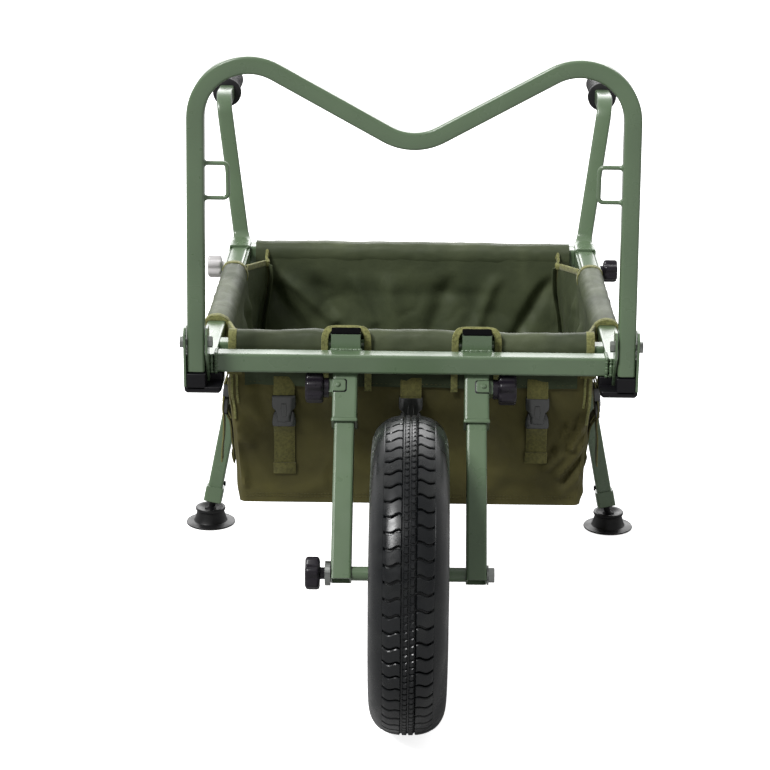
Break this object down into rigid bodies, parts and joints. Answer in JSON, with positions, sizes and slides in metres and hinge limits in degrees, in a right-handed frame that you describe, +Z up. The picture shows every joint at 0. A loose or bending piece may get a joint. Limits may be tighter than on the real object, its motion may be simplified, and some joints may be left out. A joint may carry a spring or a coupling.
{
  "type": "fishing trolley",
  "caption": "Fishing barrow on a front wheel, with a fold-back M-shaped luggage bar, clamp-in handles, splayed legs on tilting feet and an under-slung bag.",
  "frame": {"origin": "on the ground under the middle of the trolley's bounding box", "axes": "+Z up, -Y towards the wheel, +Y towards the grips, +X to the right seen from the wheel's end"},
  "size_m": [0.7042, 1.2, 0.8314],
  "materials": {
    "frame_paint": "satin olive-green powder coat on steel tube",
    "zinc_plate": "zinc-plated steel",
    "rim_metal": "grey painted pressed steel",
    "black_plastic": "matt moulded nylon",
    "buckle_plastic": "matt moulded acetal",
    "grip_rubber": "ribbed soft grip rubber",
    "foot_rubber": "hard moulded rubber",
    "tyre": "matt dark grey tyre rubber",
    "inner_tube": "butyl rubber",
    "bag_cloth": "coated olive polyester cloth with webbing",
    "hem_cloth": "coated olive lining cloth"
  },
  "bodies": {
    "frame": {"side_rail_left": "frame_paint", "side_rail_right": "frame_paint", "front_crossbar": "frame_paint", "front_bag_rail": "frame_paint", "rear_cross_tube": "frame_paint", "rear_corner_left": "frame_paint", "rear_corner_right": "frame_paint", "fork_head_left": "frame_paint", "fork_head_right": "frame_paint", "fork_sleeve_left": "frame_paint", "fork_sleeve_right": "frame_paint", "bar_bracket_left": "frame_paint", "bar_bracket_right": "frame_paint", "leg_socket_left": "frame_paint", "leg_socket_right": "frame_paint", "corner_block_left": "black_plastic", "corner_block_right": "black_plastic", "bar_pivot_bolt_left": "zinc_plate", "bar_pivot_bolt_right": "zinc_plate", "bag": "bag_cloth", "hem_front": "hem_cloth", "hem_rear": "hem_cloth", "hem_left": "hem_cloth", "hem_right": "hem_cloth", "buckle_left": "buckle_plastic", "buckle_middle": "buckle_plastic", "buckle_right": "buckle_plastic"},
    "fork": {"fork_leg_left": "frame_paint", "fork_leg_right": "frame_paint", "axle_bolt": "zinc_plate", "axle_spacer_left": "frame_paint", "axle_spacer_right": "frame_paint", "axle_flange_washer": "zinc_plate", "axle_nut": "zinc_plate", "axle_tooth_washer": "zinc_plate"},
    "axle_knob": {"axle_knob": "black_plastic"},
    "wheel": {"tyre": "tyre", "inner_tube": "inner_tube", "rim_half_left": "rim_metal", "rim_half_right": "rim_metal", "hub": "rim_metal", "bearing_left": "zinc_plate", "bearing_right": "zinc_plate"},
    "luggage_bar": {"luggage_bar": "frame_paint"},
    "handle_left": {"handle_left": "frame_paint", "grip_left": "grip_rubber"},
    "handle_knob_left": {"handle_knob_left": "black_plastic"},
    "fork_knob_left": {"fork_knob_left": "black_plastic"},
    "rear_leg_left": {"rear_leg_left": "frame_paint", "ankle_left": "zinc_plate", "leg_pin_left": "zinc_plate"},
    "foot_left": {"foot_left": "foot_rubber"},
    "handle_right": {"handle_right": "frame_paint", "grip_right": "grip_rubber"},
    "handle_knob_right": {"handle_knob_right": "black_plastic"},
    "fork_knob_right": {"fork_knob_right": "black_plastic"},
    "rear_leg_right": {"rear_leg_right": "frame_paint", "ankle_right": "zinc_plate", "leg_pin_right": "zinc_plate"},
    "foot_right": {"foot_right": "foot_rubber"}
  },
  "joints": [
    {"name": "fork_slide", "type": "slide", "parent": "frame", "child": "fork", "axis": [0, -0.6028, -0.7979], "range_m": [0, 0.04]},
    {"name": "wheel_spin", "type": "hinge", "parent": "fork", "child": "wheel", "pos_m": [0, -0.4, 0.2], "axis": [1, 0, 0], "continuous": true},
    {"name": "axle_knob_turn", "type": "hinge", "parent": "fork", "child": "axle_knob", "pos_m": [-0.118, -0.4, 0.2], "axis": [-1, 0, 0], "range_deg": [0, 720]},
    {"name": "luggage_bar_fold", "type": "hinge", "parent": "frame", "child": "luggage_bar", "pos_m": [0, -0.278, 0.465], "axis": [-1, 0, 0], "range_deg": [0, 90]},
    {"name": "handle_slide_left", "type": "slide", "parent": "frame", "child": "handle_left", "axis": [0, 1, 0], "range_m": [0, 0.06]},
    {"name": "handle_knob_turn_left", "type": "hinge", "parent": "frame", "child": "handle_knob_left", "pos_m": [-0.2896, 0.22, 0.432], "axis": [-1, 0, 0], "range_deg": [0, 720]},
    {"name": "fork_knob_turn_left", "type": "hinge", "parent": "frame", "child": "fork_knob_left", "pos_m": [-0.115, -0.25119, 0.397], "axis": [-1, 0, 0], "range_deg": [0, 720]},
    {"name": "rear_leg_slide_left", "type": "slide", "parent": "frame", "child": "rear_leg_left", "axis": [-0.1924, -0.1507, -0.9697], "range_m": [0, 0.04]},
    {"name": "foot_tilt_left", "type": "hinge", "parent": "rear_leg_left", "child": "foot_left", "pos_m": [-0.3136, 0.273, 0.018], "axis": [1, 0, 0], "range_deg": [-10, 10]},
    {"name": "handle_slide_right", "type": "slide", "parent": "frame", "child": "handle_right", "axis": [0, 1, 0], "range_m": [0, 0.06]},
    {"name": "handle_knob_turn_right", "type": "hinge", "parent": "frame", "child": "handle_knob_right", "pos_m": [0.2896, 0.22, 0.432], "axis": [1, 0, 0], "range_deg": [0, 720]},
    {"name": "fork_knob_turn_right", "type": "hinge", "parent": "frame", "child": "fork_knob_right", "pos_m": [0.115, -0.25119, 0.397], "axis": [1, 0, 0], "range_deg": [0, 720]},
    {"name": "rear_leg_slide_right", "type": "slide", "parent": "frame", "child": "rear_leg_right", "axis": [0.1924, -0.1507, -0.9697], "range_m": [0, 0.04]},
    {"name": "foot_tilt_right", "type": "hinge", "parent": "rear_leg_right", "child": "foot_right", "pos_m": [0.3136, 0.273, 0.018], "axis": [1, 0, 0], "range_deg": [-10, 10]}
  ]
}
